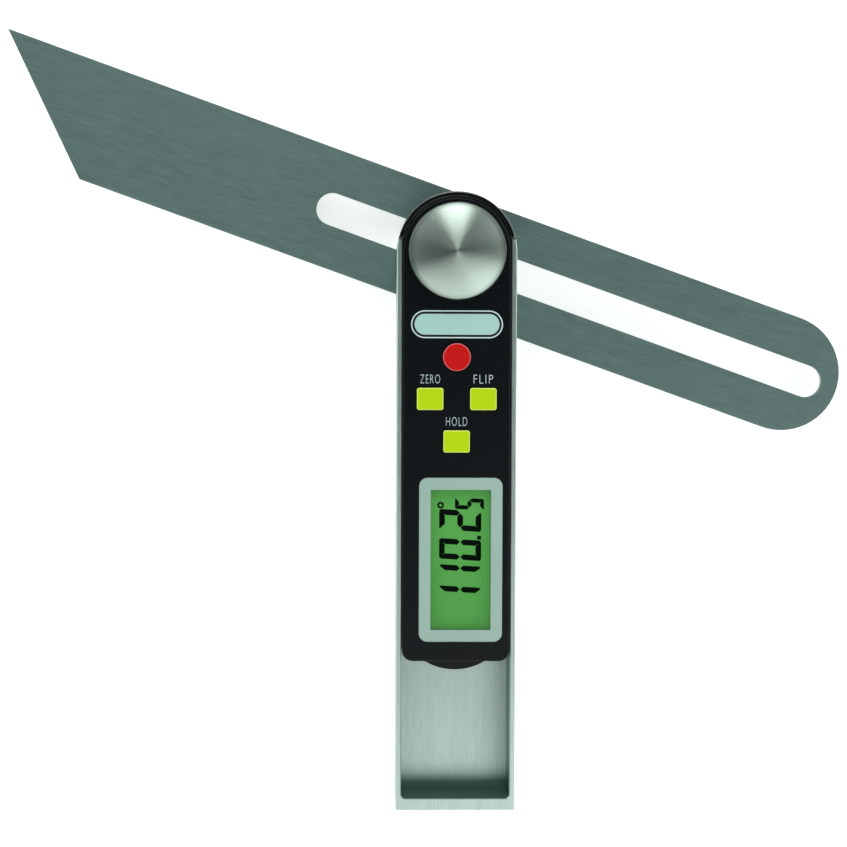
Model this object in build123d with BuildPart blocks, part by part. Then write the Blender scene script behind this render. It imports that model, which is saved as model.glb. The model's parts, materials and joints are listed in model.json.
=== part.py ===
"""Digital sliding T-bevel: a slotted blade that turns and slides on a clamp stud in a channel handle,
with an angle display module in the channel.

Frame: millimetres. The tool lies on its back. +Z leaves the front face, +Y runs along the handle to its
head, +X is to the right. The origin is on the pivot axis, at the back face of the handle.
"""
from build123d import *
import math
import os

os.makedirs("parts", exist_ok=True)

# ---- handle ----
handle_width = 26.4
head_radius = handle_width / 2
foot_reach = 123.7          # pivot axis to the foot of the handle
back_plate_thick = 3.8
blade_gap = 2.8             # free height between the back plate and the channel
channel_floor_thick = 1.2
channel_wall = 1.2
pocket_corner_radius = 1.0  # upright inner corners at the end wall
channel_height = 20.0       # front edges of the channel walls, from the back face
channel_wall_top = 2.7      # the walls end this far beyond the pivot axis
end_wall_thick = 2.6
channel_edge_break = 0.2    # chamfer on the channel's front edges
foot_block_length = 9.3
foot_corner_radius = 0.4
back_edge_break = 0.3
foot_screw_spacing = 14.0
foot_screw_inset = 4.6      # from the foot to the screws' line
foot_screw_dia = 3.0
foot_screw_head_dia = 5.6
foot_screw_sunk = 0.1       # the heads lie this far below the back face
foot_screw_skin = 0.3       # metal left over the screws' ends in the channel's floor
foot_screw_socket = 2.0
foot_screw_socket_depth = 0.8

# ---- blade ----
blade_length = 203.2
blade_width = 26.2
blade_thick = 2.0
tip_reach = 111.2           # pivot axis to the point, along the blade
tip_angle = 45.0
slot_width = 7.3
slot_from_tip = 78.2        # point to the near end of the slot
slot_length = 121.3
blade_edge_break = 0.12     # chamfer round both faces of the blade
rest_angle = -19.7          # blade's direction from +X at rest

# ---- clamp and pivot ----
stud_dia = 5.0
stud_head_size = 8.0
stud_head_thick = 2.2
stud_end_break = 0.4
hub_flange_dia = 10.8
hub_stem_wall = 1.25
hub_neck_wall = 0.45
friction_washer_thick = 0.3
friction_washer_dia = 18.0
spring_washer_thick = 0.5
sleeve_wall = 0.8
knob_dia = 21.4
knob_rim_height = 2.4
knob_dome_height = 1.3
knob_gap = 0.5              # free height between the front cover and the knob
knob_spigot_wall = 1.05
knob_roof = 1.2             # metal left over the stud inside the knob
knob_rim_break = 0.3

# ---- display module ----
module_reach = 90.4         # pivot axis to the module's foot end
housing_wall = 1.25
housing_floor = 1.6
housing_chamfer = 0.9
arch_wall = 1.25
arch_edge_radius = 0.3
cover_thick = 1.7
cover_proud = 0.3           # front cover stands this far above the channel walls
module_corner_radius = 2.4
cover_edge_radius = 0.4
board_height = 15.0         # underside of the circuit board, from the back face
board_thick = 1.0
board_foot_reach = 88.0
post_dia = 3.8
post_x = 8.2
post_y = (-17.0, -47.4)
module_screw_dia = 2.0
module_screw_head_dia = 3.6
module_screw_grip = 12.2    # height that the module screws reach to
board_screw_dia = 1.6
board_screw_head_dia = 2.9
board_screw_head_thick = 0.8
board_screw_length = 3.1
rotor_dia = 18.0
rotor_thick = 1.0
stator_thick = 0.4
chip_size = 8.0
chip_thick = 1.1
chip_y = -51.0
chip_edge_break = 0.25
crystal_dia = 2.0
crystal_length = 6.0
crystal_place = (6.0, -42.0)

# ---- badge, buttons and display on the front cover ----
badge_length = 20.2
badge_width = 6.1
badge_y = -16.0
badge_proud = 0.3
badge_recess = 0.3
badge_edge_radius = 0.2
power_button_dia = 6.1
power_button_y = -23.2
key_width = 5.8
key_length = 4.85
key_corner = 0.5
key_pair_x = 5.85
key_pair_y = -32.4
hold_key_y = -41.75
button_proud = 0.7
button_travel = 0.6
button_edge_radius = 0.25
button_flange = 0.5         # flange stands out this far all round
button_flange_thick = 0.7
button_lift = 0.2           # free height between the flange and the cover
button_stem_dia = 2.4
switch_dia = 4.4
switch_thick = 0.6
bezel_width = 18.4
bezel_length = 36.3
bezel_corner = 1.9
bezel_proud = 0.4
bezel_recess = 0.8
bezel_edge_radius = 0.3
bezel_x = 1.0
bezel_y = -67.9
window_width = 13.3
window_length = 31.0
window_corner = 0.2
window_thick = 0.9
window_sunk = 0.15          # window lies this far below the bezel's face
lcd_width = 17.0
lcd_length = 34.0
lcd_thick = 1.2
backlight_thick = 0.9
connector_width = 1.4
connector_inset = 0.3

# ---- battery ----
cell_dia = 20.0
cell_thick = 3.2
cell_edge_radius = 0.4
tray_floor = 1.0
tray_rim = 0.4
tray_side_wall = 0.4
tray_nose_radius = 13.0
tray_slot_length = 8.0      # opening under the cell, to push it out
tray_slot_width = 3.0
tray_nose_reach = 93.1      # pivot axis to the tray's nose
cell_y = -79.3              # centre of the cell
contact_thick = 0.3
contact_width = 4.0
contact_length = 10.0
contact_spacing = 7.0

# ---- clearances ----
slide_gap = 0.1             # blade to its neighbours, and cell to its tray
seat_gap = 0.1              # housing and cover to the channel walls
running_gap = 0.05          # turning fits on the stud
hole_gap = 0.4              # stems and sleeves through plain holes
button_gap = 0.15
tray_gap = 0.2

# ---- heights worked out from the stack ----
channel_bottom = back_plate_thick + blade_gap
channel_floor_top = channel_bottom + channel_floor_thick
blade_bottom = back_plate_thick + friction_washer_thick + slide_gap
blade_top = blade_bottom + blade_thick
cavity_bottom = channel_floor_top + housing_floor
cover_top = channel_height + cover_proud
cover_bottom = cover_top - cover_thick
board_top = board_height + board_thick
board_screw_tip = board_top - board_screw_length
stator_bottom = board_height - stator_thick
rotor_top = stator_bottom - slide_gap
rotor_bottom = rotor_top - rotor_thick
knob_bottom = cover_top + knob_gap
knob_rim_top = knob_bottom + knob_rim_height
stud_top = knob_rim_top + knob_dome_height - knob_roof
bore_radius = stud_dia / 2 + running_gap
hub_stem_radius = bore_radius + hub_stem_wall
hub_neck_radius = bore_radius + hub_neck_wall
sleeve_radius = bore_radius + sleeve_wall
spigot_radius = bore_radius + knob_spigot_wall
sleeve_bottom = rotor_top + spring_washer_thick
sleeve_top = cover_bottom + cover_thick / 2
channel_inner = handle_width / 2 - channel_wall
housing_half = channel_inner - seat_gap
arch_inner = head_radius - arch_wall
cavity_half = housing_half - housing_wall
cavity_head = arch_inner - housing_wall
slot_near = slot_from_tip - tip_reach
slot_far = slot_near + slot_length
blade_end = blade_length - tip_reach
cell_bottom = cavity_bottom + tray_gap + tray_floor
tray_top = cell_bottom + cell_thick + tray_rim
tray_half = cell_dia / 2 + slide_gap + tray_side_wall
tray_nose_y = tray_nose_radius - tray_nose_reach
corner_posts = [(side * post_x, y) for side in (-1, 1) for y in post_y]


def rounded_outline(half_width, head, foot):
    """Outline with a round head about the pivot axis and a straight foot."""
    with BuildLine() as outline:
        Line((-half_width, 0), (-half_width, -foot))
        Line((-half_width, -foot), (half_width, -foot))
        Line((half_width, -foot), (half_width, 0))
        if half_width < head:
            step = math.sqrt(head**2 - half_width**2)
            Line((half_width, 0), (half_width, step))
            ThreePointArc((half_width, step), (0, head), (-half_width, step))
            Line((-half_width, step), (-half_width, 0))
        else:
            ThreePointArc((half_width, 0), (0, head), (-half_width, 0))
    return outline.line


def save(builder, name):
    """Label a finished piece and write it."""
    builder.part.label = name
    export_step(builder.part, f"parts/{name}.step")


def button(name, x, y, width, length=None):
    """A push button whose flange is held under the front cover; round when no length is given."""
    flange_top = cover_bottom - button_lift
    flange_bottom = flange_top - button_flange_thick
    stem_bottom = board_top + switch_thick + button_travel + slide_gap
    with BuildPart() as piece:
        with BuildSketch(Plane.XY.offset(flange_top)):
            with Locations((x, y)):
                if length is None:
                    Circle(width / 2)
                else:
                    RectangleRounded(width, length, key_corner)
        extrude(amount=cover_top + button_proud - flange_top)
        top = piece.faces().sort_by(Axis.Z)[-1]
        fillet(top.edges(), button_edge_radius)
        with BuildSketch(Plane.XY.offset(flange_bottom)):
            with Locations((x, y)):
                if length is None:
                    Circle(width / 2 + button_flange)
                else:
                    RectangleRounded(
                        width + 2 * button_flange, length + 2 * button_flange, key_corner
                    )
        extrude(amount=button_flange_thick)
        with BuildSketch(Plane.XY.offset(stem_bottom)):
            with Locations((x, y)):
                Circle(button_stem_dia / 2)
        extrude(amount=flange_bottom - stem_bottom)
    save(piece, name)


# ---- handle ----
foot_screw_top = channel_floor_top - foot_screw_skin
foot_screw_line = -foot_reach + foot_screw_inset
foot_screws_at = [(side * foot_screw_spacing / 2, foot_screw_line) for side in (-1, 1)]

with BuildPart() as back_plate:
    with BuildSketch(Plane.XY):
        make_face(rounded_outline(handle_width / 2, head_radius, foot_reach))
    extrude(amount=back_plate_thick)
    foot_edges = back_plate.edges().filter_by(Axis.Z).group_by(Axis.Y)[0]
    fillet(foot_edges, foot_corner_radius)
    outer_edges = back_plate.faces().sort_by(Axis.Z)[0].outer_wire().edges()
    chamfer(outer_edges, back_edge_break)
    with BuildSketch(Plane.XY):
        Rectangle(stud_head_size + 2 * slide_gap, stud_head_size + 2 * slide_gap)
    extrude(amount=stud_head_thick, mode=Mode.SUBTRACT)
    with BuildSketch(Plane.XY):
        Circle(stud_dia / 2 + slide_gap)
    extrude(amount=back_plate_thick, mode=Mode.SUBTRACT)
    with Locations(*[Location((x, y, 0), (180, 0, 0)) for x, y in foot_screws_at]):
        CounterSinkHole(foot_screw_dia / 2, foot_screw_head_dia / 2, back_plate_thick)
save(back_plate, "back_plate")

with BuildPart() as foot_block:
    with BuildSketch(Plane.XY.offset(back_plate_thick)):
        with Locations((0, -foot_reach + foot_block_length / 2)):
            Rectangle(handle_width, foot_block_length)
    extrude(amount=blade_gap)
    fillet(foot_block.edges().filter_by(Axis.Z).group_by(Axis.Y)[0], foot_corner_radius)
    with BuildSketch(Plane.XY.offset(back_plate_thick)):
        with Locations(*foot_screws_at):
            Circle(foot_screw_dia / 2)
    extrude(amount=blade_gap, mode=Mode.SUBTRACT)
save(foot_block, "foot_block")

with BuildPart() as front_channel:
    with BuildSketch(Plane.XY.offset(channel_bottom)):
        make_face(rounded_outline(handle_width / 2, head_radius, foot_reach))
    extrude(amount=channel_height - channel_bottom)
    with BuildSketch(Plane.XY.offset(channel_floor_top)):
        with Locations((0, (channel_wall_top - foot_reach + end_wall_thick) / 2 + head_radius)):
            Rectangle(2 * channel_inner, foot_reach - end_wall_thick + channel_wall_top + 2 * head_radius)
    extrude(amount=channel_height, mode=Mode.SUBTRACT)
    with BuildSketch(Plane.XY.offset(channel_floor_top)):
        with Locations((0, channel_wall_top + head_radius)):
            Rectangle(2 * handle_width, 2 * head_radius)
    extrude(amount=channel_height, mode=Mode.SUBTRACT)
    fillet(front_channel.edges().filter_by(Axis.Z).group_by(Axis.Y)[1], pocket_corner_radius)
    fillet(front_channel.edges().filter_by(Axis.Z).group_by(Axis.Y)[0], foot_corner_radius)
    chamfer(front_channel.faces().sort_by(Axis.Z)[-1].edges(), channel_edge_break)
    with BuildSketch(Plane.XY.offset(channel_bottom)):
        Circle(hub_flange_dia / 2 + hole_gap)
    extrude(amount=channel_floor_thick, mode=Mode.SUBTRACT)
    with BuildSketch(Plane.XY.offset(channel_bottom)):
        with Locations(*foot_screws_at):
            Circle(foot_screw_dia / 2)
    extrude(amount=foot_screw_top - channel_bottom, mode=Mode.SUBTRACT)
    with Locations(*[Location((x, y, channel_bottom), (180, 0, 0)) for x, y in corner_posts]):
        CounterSinkHole(module_screw_dia / 2, module_screw_head_dia / 2, channel_floor_thick)
save(front_channel, "front_channel")

with BuildPart() as foot_screws:
    for x, y in foot_screws_at:
        with BuildSketch(Plane.XZ.offset(-y)):
            with BuildLine():
                head = foot_screw_head_dia / 2 - foot_screw_sunk
                shank = foot_screw_dia / 2
                Polyline(
                    (x, foot_screw_sunk), (x + head, foot_screw_sunk),
                    (x + shank, foot_screw_sunk + head - shank), (x + shank, foot_screw_top),
                    (x, foot_screw_top), (x, foot_screw_sunk),
                )
            make_face()
        revolve(axis=Axis((x, y, 0), (0, 0, 1)))
        with BuildSketch(Plane.XY.offset(foot_screw_sunk)):
            with Locations((x, y)):
                RegularPolygon(foot_screw_socket / 2, 6)
        extrude(amount=foot_screw_socket_depth, mode=Mode.SUBTRACT)
save(foot_screws, "foot_screws")

# ---- clamp stud, washers, hub and knob ----
with BuildPart() as clamp_stud:
    with BuildSketch(Plane.XY):
        Rectangle(stud_head_size, stud_head_size)
    extrude(amount=stud_head_thick)
    with BuildSketch(Plane.XY):
        Circle(stud_dia / 2)
    extrude(amount=stud_top)
    chamfer(clamp_stud.faces().sort_by(Axis.Z)[-1].edges(), stud_end_break)
save(clamp_stud, "clamp_stud")

with BuildPart() as friction_washer:
    with BuildSketch(Plane.XY.offset(back_plate_thick)):
        Circle(friction_washer_dia / 2)
        Circle(stud_dia / 2 + slide_gap, mode=Mode.SUBTRACT)
    extrude(amount=friction_washer_thick)
save(friction_washer, "friction_washer")

with BuildPart() as slot_hub:
    with BuildSketch(Plane.XY.offset(blade_bottom)):
        Circle(slot_width / 2 - slide_gap)
    extrude(amount=blade_thick + slide_gap)
    with BuildSketch(Plane.XY.offset(blade_top + slide_gap)):
        Circle(hub_flange_dia / 2)
    extrude(amount=channel_floor_top - slide_gap * 2 - blade_top)
    with BuildSketch(Plane.XY.offset(channel_floor_top - slide_gap)):
        Circle(hub_stem_radius)
    extrude(amount=rotor_bottom - channel_floor_top + slide_gap)
    with BuildSketch(Plane.XY.offset(rotor_bottom)):
        Circle(hub_neck_radius)
    extrude(amount=rotor_thick)
    with BuildSketch(Plane.XY.offset(blade_bottom)):
        Circle(bore_radius)
    extrude(amount=rotor_top - blade_bottom, mode=Mode.SUBTRACT)
save(slot_hub, "slot_hub")

with BuildPart() as encoder_rotor:
    with BuildSketch(Plane.XY.offset(rotor_bottom)):
        Circle(rotor_dia / 2)
        Circle(hub_neck_radius, mode=Mode.SUBTRACT)
    extrude(amount=rotor_thick)
save(encoder_rotor, "encoder_rotor")

with BuildPart() as spring_washer:
    with BuildSketch(Plane.XY.offset(rotor_top + slide_gap)):
        Circle(sleeve_radius)
        Circle(bore_radius, mode=Mode.SUBTRACT)
    extrude(amount=spring_washer_thick - slide_gap)
save(spring_washer, "spring_washer")

with BuildPart() as clamp_sleeve:
    with BuildSketch(Plane.XY.offset(sleeve_bottom)):
        Circle(sleeve_radius)
        Circle(bore_radius, mode=Mode.SUBTRACT)
    extrude(amount=sleeve_top - sleeve_bottom)
save(clamp_sleeve, "clamp_sleeve")

knob_radius = knob_dia / 2
dome_edge = knob_radius - knob_rim_break
dome_top = knob_rim_top + knob_dome_height
dome_radius = (dome_edge**2 + knob_dome_height**2) / (2 * knob_dome_height)
dome_rise = math.degrees(math.asin(dome_edge / dome_radius))
with BuildPart() as clamp_knob:
    with BuildSketch(Plane.XZ):
        with BuildLine():
            Polyline(
                (0, dome_top), (0, stud_top + slide_gap), (bore_radius, stud_top + slide_gap),
                (bore_radius, sleeve_top + slide_gap), (spigot_radius, sleeve_top + slide_gap),
                (spigot_radius, knob_bottom), (dome_edge, knob_bottom),
                (knob_radius, knob_bottom + knob_rim_break), (knob_radius, knob_rim_top - knob_rim_break),
                (dome_edge, knob_rim_top),
            )
            CenterArc((0, dome_top - dome_radius), dome_radius, 90 - dome_rise, dome_rise)
        make_face()
    revolve(axis=Axis.Z)
save(clamp_knob, "clamp_knob")

# ---- blade ----
blade_plane = Plane((0, 0, blade_bottom), x_dir=(1, 0, 0), z_dir=(0, 0, 1)).rotated((0, 0, rest_angle))
with BuildPart() as blade:
    with BuildSketch(blade_plane):
        half = blade_width / 2
        tip_run = blade_width / math.tan(math.radians(tip_angle))
        with BuildLine():
            Line((-tip_reach, half), (-tip_reach + tip_run, -half))
            Line((-tip_reach + tip_run, -half), (blade_end - half, -half))
            ThreePointArc((blade_end - half, -half), (blade_end, 0), (blade_end - half, half))
            Line((blade_end - half, half), (-tip_reach, half))
        make_face()
        with Locations(((slot_near + slot_far) / 2, 0)):
            SlotOverall(slot_length, slot_width, mode=Mode.SUBTRACT)
    extrude(amount=blade_thick)
    blade_faces = blade.faces().sort_by(Axis.Z)
    chamfer(blade_faces[0].edges() + blade_faces[-1].edges(), blade_edge_break)
save(blade, "blade")

# ---- module housing and front cover ----
with BuildPart() as module_housing:
    with BuildSketch(Plane.XY.offset(channel_floor_top)):
        with Locations((0, (channel_wall_top + seat_gap - module_reach) / 2)):
            Rectangle(2 * housing_half, module_reach + channel_wall_top + seat_gap)
    extrude(amount=cover_bottom - channel_floor_top)
    fillet(module_housing.edges().filter_by(Axis.Z).group_by(Axis.Y)[0], module_corner_radius)
    bottom_edges = module_housing.faces().sort_by(Axis.Z)[0].edges()
    chamfer(bottom_edges.filter_by(Axis.Y), housing_chamfer)
    with BuildSketch(Plane.XY.offset(channel_floor_top)):
        make_face(rounded_outline(head_radius, head_radius, channel_wall_top))
        with Locations((0, channel_wall_top + seat_gap - head_radius)):
            Rectangle(2 * handle_width, 2 * head_radius, mode=Mode.SUBTRACT)
    extrude(amount=channel_height - channel_floor_top)
    with BuildSketch(Plane.XY.offset(cavity_bottom)):
        make_face(rounded_outline(cavity_half, cavity_head, module_reach - housing_wall))
    extrude(amount=channel_height, mode=Mode.SUBTRACT)
    with BuildSketch(Plane.XY.offset(cover_bottom)):
        make_face(rounded_outline(housing_half + seat_gap, arch_inner, module_reach + seat_gap))
    extrude(amount=channel_height, mode=Mode.SUBTRACT)
    fillet(module_housing.faces().sort_by(Axis.Z)[-1].edges(), arch_edge_radius)
    with BuildSketch(Plane.XY.offset(cavity_bottom)):
        with Locations(*corner_posts):
            Circle(post_dia / 2)
    extrude(amount=board_height - cavity_bottom)
    with BuildSketch(Plane.XY.offset(channel_floor_top)):
        with Locations(*corner_posts):
            Circle(module_screw_dia / 2)
    extrude(amount=module_screw_grip - channel_floor_top, mode=Mode.SUBTRACT)
    with BuildSketch(Plane.XY.offset(board_screw_tip - slide_gap)):
        with Locations(*corner_posts):
            Circle(board_screw_dia / 2)
    extrude(amount=board_height - board_screw_tip + slide_gap, mode=Mode.SUBTRACT)
    with BuildSketch(Plane.XY.offset(channel_floor_top)):
        Circle(hub_stem_radius + hole_gap)
    extrude(amount=housing_floor, mode=Mode.SUBTRACT)
    with BuildSketch(Plane.XZ.offset(module_reach - housing_wall)):
        with Locations((0, (cavity_bottom + tray_top + tray_gap) / 2)):
            Rectangle(2 * (tray_half + tray_gap), tray_top + tray_gap - cavity_bottom)
    extrude(amount=housing_wall, mode=Mode.SUBTRACT)
save(module_housing, "module_housing")

keys = {
    "zero_key": (-key_pair_x, key_pair_y),
    "flip_key": (key_pair_x, key_pair_y),
    "hold_key": (0, hold_key_y),
}
with BuildPart() as front_cover:
    with BuildSketch(Plane.XY.offset(cover_bottom)):
        make_face(rounded_outline(housing_half, arch_inner - seat_gap, module_reach))
    extrude(amount=cover_thick)
    fillet(front_cover.edges().filter_by(Axis.Z).group_by(Axis.Y)[0], module_corner_radius)
    fillet(front_cover.faces().sort_by(Axis.Z)[-1].edges(), cover_edge_radius)
    with BuildSketch(Plane.XY.offset(cover_bottom)):
        Circle(spigot_radius + hole_gap)
        with Locations((0, power_button_y)):
            Circle(power_button_dia / 2 + button_gap)
        with Locations(*keys.values()):
            RectangleRounded(
                key_width + 2 * button_gap, key_length + 2 * button_gap, key_corner + button_gap
            )
        with Locations((bezel_x, bezel_y)):
            Rectangle(window_width, window_length)
    extrude(amount=cover_thick, mode=Mode.SUBTRACT)
    with BuildSketch(Plane.XY.offset(cover_top - bezel_recess)):
        with Locations((bezel_x, bezel_y)):
            RectangleRounded(bezel_width, bezel_length, bezel_corner)
    extrude(amount=bezel_recess, mode=Mode.SUBTRACT)
    with BuildSketch(Plane.XY.offset(cover_top - badge_recess)):
        with Locations((0, badge_y)):
            SlotOverall(badge_length, badge_width)
    extrude(amount=badge_recess, mode=Mode.SUBTRACT)
save(front_cover, "front_cover")

with BuildPart() as badge:
    with BuildSketch(Plane.XY.offset(cover_top - badge_recess)):
        with Locations((0, badge_y)):
            SlotOverall(badge_length, badge_width)
    extrude(amount=badge_recess + badge_proud)
    fillet(badge.faces().sort_by(Axis.Z)[-1].edges(), badge_edge_radius)
save(badge, "badge")

button("power_button", 0, power_button_y, power_button_dia)
for key_name, (key_x, key_y) in keys.items():
    button(key_name, key_x, key_y, key_width, key_length)

# ---- display ----
with BuildPart() as lcd_bezel:
    with BuildSketch(Plane.XY.offset(cover_top - bezel_recess)):
        with Locations((bezel_x, bezel_y)):
            RectangleRounded(bezel_width, bezel_length, bezel_corner)
            RectangleRounded(window_width, window_length, window_corner, mode=Mode.SUBTRACT)
    extrude(amount=bezel_recess + bezel_proud)
    outer_top = lcd_bezel.faces().sort_by(Axis.Z)[-1].outer_wire().edges()
    fillet(outer_top, bezel_edge_radius)
save(lcd_bezel, "lcd_bezel")

with BuildPart() as lcd_window:
    with BuildSketch(Plane.XY.offset(cover_top + bezel_proud - window_sunk - window_thick)):
        with Locations((bezel_x, bezel_y)):
            RectangleRounded(window_width, window_length, window_corner)
    extrude(amount=window_thick)
save(lcd_window, "lcd_window")

with BuildPart() as lcd_panel:
    with BuildSketch(Plane.XY.offset(cover_bottom - lcd_thick)):
        with Locations((bezel_x, bezel_y)):
            Rectangle(lcd_width, lcd_length)
    extrude(amount=lcd_thick)
save(lcd_panel, "lcd_panel")

with BuildPart() as backlight:
    with BuildSketch(Plane.XY.offset(cover_bottom - lcd_thick - backlight_thick)):
        with Locations((bezel_x, bezel_y)):
            Rectangle(window_width, window_length)
    extrude(amount=backlight_thick)
save(backlight, "backlight")

with BuildPart() as lcd_connector:
    with BuildSketch(Plane.XY.offset(board_top)):
        with Locations((bezel_x + lcd_width / 2 - connector_inset - connector_width / 2, bezel_y)):
            Rectangle(connector_width, window_length)
    extrude(amount=cover_bottom - lcd_thick - board_top)
save(lcd_connector, "lcd_connector")

# ---- circuit board and what is on it ----
with BuildPart() as circuit_board:
    with BuildSketch(Plane.XY.offset(board_height)):
        make_face(rounded_outline(cavity_half - tray_gap, cavity_head - tray_gap, board_foot_reach))
        Circle(sleeve_radius + hole_gap, mode=Mode.SUBTRACT)
        with Locations(*corner_posts):
            Circle(board_screw_dia / 2, mode=Mode.SUBTRACT)
    extrude(amount=board_thick)
save(circuit_board, "circuit_board")

with BuildPart() as encoder_stator:
    with BuildSketch(Plane.XY.offset(stator_bottom)):
        Circle(rotor_dia / 2)
        Circle(sleeve_radius + hole_gap, mode=Mode.SUBTRACT)
    extrude(amount=stator_thick)
save(encoder_stator, "encoder_stator")

with BuildPart() as processor_chip:
    with BuildSketch(Plane.XY.offset(board_height - chip_thick)):
        with Locations((0, chip_y)):
            Rectangle(chip_size, chip_size)
    extrude(amount=chip_thick)
    chamfer(processor_chip.faces().sort_by(Axis.Z)[0].edges(), chip_edge_break)
save(processor_chip, "processor_chip")

with BuildPart() as crystal:
    with BuildSketch(Plane.XZ.offset(-crystal_place[1] - crystal_length / 2)):
        with Locations((crystal_place[0], board_height - crystal_dia / 2)):
            Circle(crystal_dia / 2)
    extrude(amount=crystal_length)
save(crystal, "crystal")

with BuildPart() as dome_switches:
    with BuildSketch(Plane.XY.offset(board_top)):
        with Locations((0, power_button_y), *keys.values()):
            Circle(switch_dia / 2)
    extrude(amount=switch_thick)
save(dome_switches, "dome_switches")

with BuildPart() as board_screws:
    with BuildSketch(Plane.XY.offset(board_screw_tip)):
        with Locations(*corner_posts):
            Circle(board_screw_dia / 2)
    extrude(amount=board_top - board_screw_tip)
    with BuildSketch(Plane.XY.offset(board_top)):
        with Locations(*corner_posts):
            Circle(board_screw_head_dia / 2)
    extrude(amount=board_screw_head_thick)
save(board_screws, "board_screws")

with BuildPart() as module_screws:
    head_bottom = channel_bottom + running_gap
    head = module_screw_head_dia / 2 - running_gap
    shank = module_screw_dia / 2
    for x, y in corner_posts:
        with BuildSketch(Plane.XZ.offset(-y)):
            with BuildLine():
                Polyline(
                    (x, head_bottom), (x + head, head_bottom), (x + shank, head_bottom + head - shank),
                    (x + shank, module_screw_grip), (x, module_screw_grip), (x, head_bottom),
                )
            make_face()
        revolve(axis=Axis((x, y, 0), (0, 0, 1)))
save(module_screws, "module_screws")

# ---- battery tray, cell and contacts ----
with BuildPart() as battery_tray:
    with BuildSketch(Plane.XY.offset(cavity_bottom + tray_gap)):
        with Locations((0, tray_nose_y)):
            Circle(tray_nose_radius)
            Rectangle(2 * tray_half, 2 * tray_nose_radius, mode=Mode.INTERSECT)
    extrude(amount=tray_top - cavity_bottom - tray_gap)
    with BuildSketch(Plane.XY.offset(cell_bottom)):
        with Locations((0, cell_y)):
            Circle(cell_dia / 2 + slide_gap)
    extrude(amount=cell_thick + tray_rim, mode=Mode.SUBTRACT)
    with BuildSketch(Plane.XY.offset(cavity_bottom + tray_gap)):
        with Locations((0, cell_y)):
            SlotOverall(tray_slot_length, tray_slot_width)
    extrude(amount=tray_floor, mode=Mode.SUBTRACT)
save(battery_tray, "battery_tray")

with BuildPart() as coin_cell:
    with BuildSketch(Plane.XY.offset(cell_bottom)):
        with Locations((0, cell_y)):
            Circle(cell_dia / 2)
    extrude(amount=cell_thick)
    fillet(coin_cell.edges().filter_by(GeomType.CIRCLE), cell_edge_radius)
save(coin_cell, "coin_cell")

with BuildPart() as battery_contacts:
    with BuildSketch(Plane.XY.offset(board_height - contact_thick)):
        with Locations((-contact_spacing / 2, cell_y), (contact_spacing / 2, cell_y)):
            Rectangle(contact_width, contact_length)
    extrude(amount=contact_thick)
save(battery_contacts, "battery_contacts")
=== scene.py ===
"""Digital sliding T-bevel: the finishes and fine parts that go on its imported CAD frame."""
import json
import math

import bmesh
import bpy
from mathutils import Matrix, Vector


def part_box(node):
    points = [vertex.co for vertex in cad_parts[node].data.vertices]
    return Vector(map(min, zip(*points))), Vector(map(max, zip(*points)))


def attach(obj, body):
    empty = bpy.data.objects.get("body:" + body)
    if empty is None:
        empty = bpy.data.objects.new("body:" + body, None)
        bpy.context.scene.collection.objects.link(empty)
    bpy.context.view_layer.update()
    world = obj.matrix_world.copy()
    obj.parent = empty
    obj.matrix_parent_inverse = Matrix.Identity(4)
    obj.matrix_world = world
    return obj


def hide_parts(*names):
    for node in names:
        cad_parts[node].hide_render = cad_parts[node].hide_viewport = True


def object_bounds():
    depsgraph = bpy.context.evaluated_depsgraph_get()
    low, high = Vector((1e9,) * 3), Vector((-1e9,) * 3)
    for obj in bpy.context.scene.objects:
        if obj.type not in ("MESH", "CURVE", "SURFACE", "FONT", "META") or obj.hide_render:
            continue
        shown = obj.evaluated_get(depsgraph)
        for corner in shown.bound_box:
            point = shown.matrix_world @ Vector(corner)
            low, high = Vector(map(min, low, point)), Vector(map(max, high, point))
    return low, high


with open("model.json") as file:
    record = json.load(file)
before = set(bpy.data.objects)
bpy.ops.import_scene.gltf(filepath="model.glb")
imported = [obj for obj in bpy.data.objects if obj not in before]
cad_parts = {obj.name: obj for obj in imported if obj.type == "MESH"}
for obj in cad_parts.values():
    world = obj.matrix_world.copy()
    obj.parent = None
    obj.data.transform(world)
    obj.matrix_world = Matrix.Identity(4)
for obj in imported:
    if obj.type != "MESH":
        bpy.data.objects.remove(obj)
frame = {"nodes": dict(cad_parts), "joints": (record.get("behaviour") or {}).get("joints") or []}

bl_info = {
    "name": "Digital Sliding Bevel",
    "version": (1, 0, 0),
    "blender": (4, 5, 0),
    "location": "View3D > Sidebar > Bevel",
    "description": "Dresses the CAD frame of a digital sliding T-bevel with its finishes and fine parts",
    "category": "Object",
}

MM = 0.001
CAD_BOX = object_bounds()
JOINT = {joint["name"]: joint for joint in frame["joints"]}
BLADE_AXIS = Vector(JOINT["blade_slide"]["axis"])
HANDLE_AXIS = Vector((0, 1, 0))


def linear(code, alpha=1.0):
    """Turn an sRGB hex code such as "A9B8C0" into linear RGBA."""
    channels = [int(code[i:i + 2], 16) / 255 for i in (0, 2, 4)]
    low = [c / 12.92 for c in channels]
    high = [((c + 0.055) / 1.055) ** 2.4 for c in channels]
    return tuple(h if c > 0.04045 else d for c, d, h in zip(channels, low, high)) + (alpha,)


def length(name, default, description):
    """A length property, in metres."""
    return bpy.props.FloatProperty(
        name=name, description=description, default=default, unit="LENGTH", precision=5, min=0.0
    )


def colour(name, code, description):
    """A colour property whose default is an sRGB hex code."""
    return bpy.props.FloatVectorProperty(
        name=name, description=description, default=linear(code), subtype="COLOR", size=4, min=0.0, max=1.0
    )


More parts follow.
